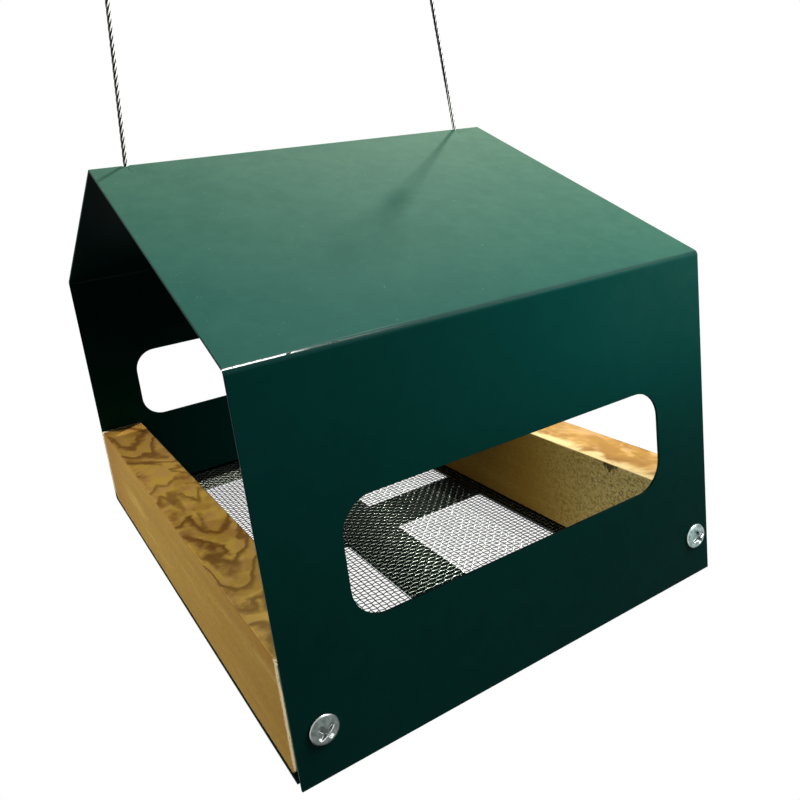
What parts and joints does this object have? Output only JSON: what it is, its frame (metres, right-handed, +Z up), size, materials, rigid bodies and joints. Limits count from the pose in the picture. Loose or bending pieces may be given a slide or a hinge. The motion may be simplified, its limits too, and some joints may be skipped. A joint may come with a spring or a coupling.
{
  "type": "hanging bird feeder",
  "caption": "Hanging fly-through bird feeder: folded green metal roof, windowed walls and slotted floor, woven wire mesh tray, wooden end rails and steel hanging cables.",
  "frame": {"origin": "centre of the floor's underside, on the plane the feeder would rest on", "axes": "+Z up, X along the ridge from open end to open end, -Y towards the front wall that the picture shows"},
  "size_m": [0.165, 0.2366, 0.2657],
  "materials": {
    "shell_paint": "satin powder coat",
    "mesh_wire": "galvanised",
    "rail_wood": "bare sawn softwood",
    "screw_zinc": "bright zinc",
    "cable_steel": "stranded, bare",
    "sleeve_metal": "crimped"
  },
  "bodies": {
    "hanger": {"cable_left": "cable_steel", "cable_right": "cable_steel", "crimp_sleeve_left": "sleeve_metal", "crimp_sleeve_right": "sleeve_metal"},
    "feeder": {"folded_shell": "shell_paint", "floor_mesh": "mesh_wire", "rail_left": "rail_wood", "rail_right": "rail_wood", "rail_screw_front_left": "screw_zinc", "rail_screw_front_right": "screw_zinc", "rail_screw_back_left": "screw_zinc", "rail_screw_back_right": "screw_zinc", "cable_tail_left": "cable_steel", "cable_tail_right": "cable_steel", "cable_stop_left": "sleeve_metal", "cable_stop_right": "sleeve_metal"}
  },
  "joints": [
    {"name": "feeder_swing", "type": "hinge", "parent": "hanger", "child": "feeder", "pos_m": [0, 0, 0.1664], "axis": [1, 0, 0], "range_deg": [-60, 60]}
  ]
}
